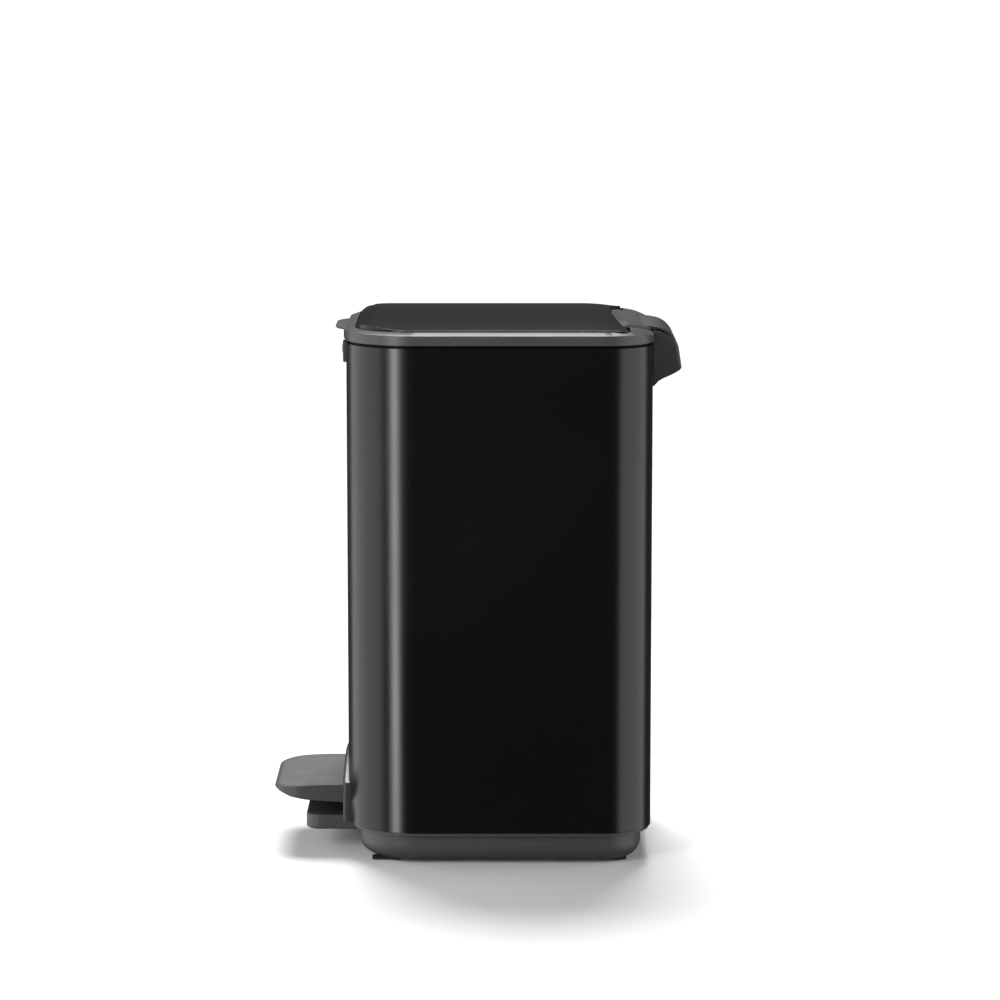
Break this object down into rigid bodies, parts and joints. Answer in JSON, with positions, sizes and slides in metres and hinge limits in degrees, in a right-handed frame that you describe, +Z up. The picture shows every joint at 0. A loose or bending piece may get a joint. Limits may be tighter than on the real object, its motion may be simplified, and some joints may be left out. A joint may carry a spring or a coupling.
{
  "type": "pedal trash can",
  "caption": "Upright rounded-rectangular pedal bin with painted steel body, hinged crowned lid, foot pedal, rear hinge housing that serves as a grip, sliding lid lock and lift-out bucket.",
  "frame": {"origin": "middle of the whole object's footprint box, at floor level", "axes": "+Z up, -Y towards the pedal (front), +Y towards the hinge (rear), +X to the right of someone facing the hinge from the pedal side"},
  "size_m": [0.2516, 0.3644, 0.4865],
  "materials": {
    "black_paint": "satin powder coat",
    "charcoal_plastic": "fine spark-eroded grain",
    "black_plastic": "moulded",
    "grey_plastic": "moulded",
    "white_plastic": "acetal",
    "tread_rubber": "ribbed grip",
    "black_rubber": "matt",
    "zinc_steel": "zinc plated pressing",
    "bright_steel": "drawn wire",
    "zinc_wire": "zinc plated wire"
  },
  "bodies": {
    "cabinet": {"outer_shell": "black_paint", "top_collar": "black_plastic", "base_tray": "charcoal_plastic", "foot_front_left": "black_rubber", "foot_front_right": "black_rubber", "foot_rear_left": "black_rubber", "foot_rear_right": "black_rubber", "pedal_bezel": "charcoal_plastic", "toe_bumper": "charcoal_plastic", "pedal_axle": "bright_steel", "axle_bracket_left": "black_plastic", "axle_bracket_right": "black_plastic", "bracket_screws": "bright_steel", "return_spring": "bright_steel", "rod_guide_lower": "black_plastic", "rod_guide_upper": "black_plastic", "rear_housing": "charcoal_plastic", "housing_screws": "bright_steel", "hinge_pin": "bright_steel", "damper_body": "black_plastic", "lock_plate": "charcoal_plastic", "inner_bucket": "grey_plastic", "bucket_handle": "zinc_wire"},
    "lid": {"lid_frame": "charcoal_plastic", "lid_panel": "black_paint", "lid_liner": "black_plastic", "lid_seal": "black_rubber", "hinge_hood": "charcoal_plastic", "lid_hinge_bracket": "zinc_steel", "damper_rotor": "white_plastic", "lock_lug": "charcoal_plastic"},
    "pedal": {"pedal_lever": "zinc_steel", "pedal_shoe": "charcoal_plastic", "pedal_tread": "tread_rubber", "pedal_screws": "bright_steel"},
    "lift_rod": {"push_rod": "bright_steel", "rod_head": "black_plastic"},
    "lock": {"lock_slider": "charcoal_plastic"}
  },
  "joints": [
    {"name": "lid_hinge", "type": "hinge", "parent": "cabinet", "child": "lid", "pos_m": [0, 0.1638, 0.4575], "axis": [-1, 0, 0], "range_deg": [0, 80]},
    {"name": "pedal_pivot", "type": "hinge", "parent": "cabinet", "child": "pedal", "pos_m": [0, -0.0097, 0.025], "axis": [1, 0, 0], "range_deg": [0, 5.5]},
    {"name": "rod_slide", "type": "slide", "parent": "cabinet", "child": "lift_rod", "axis": [0, 0, 1], "range_m": [0, 0.0151]},
    {"name": "lock_slide", "type": "slide", "parent": "cabinet", "child": "lock", "axis": [1, 0, 0], "range_m": [0, 0.012]}
  ],
  "couplings": [
    {"joint": "pedal_pivot", "follows": "lid_hinge", "ratio": 0.0687},
    {"joint": "rod_slide", "follows": "lid_hinge", "m_per_rad": 0.0108}
  ]
}
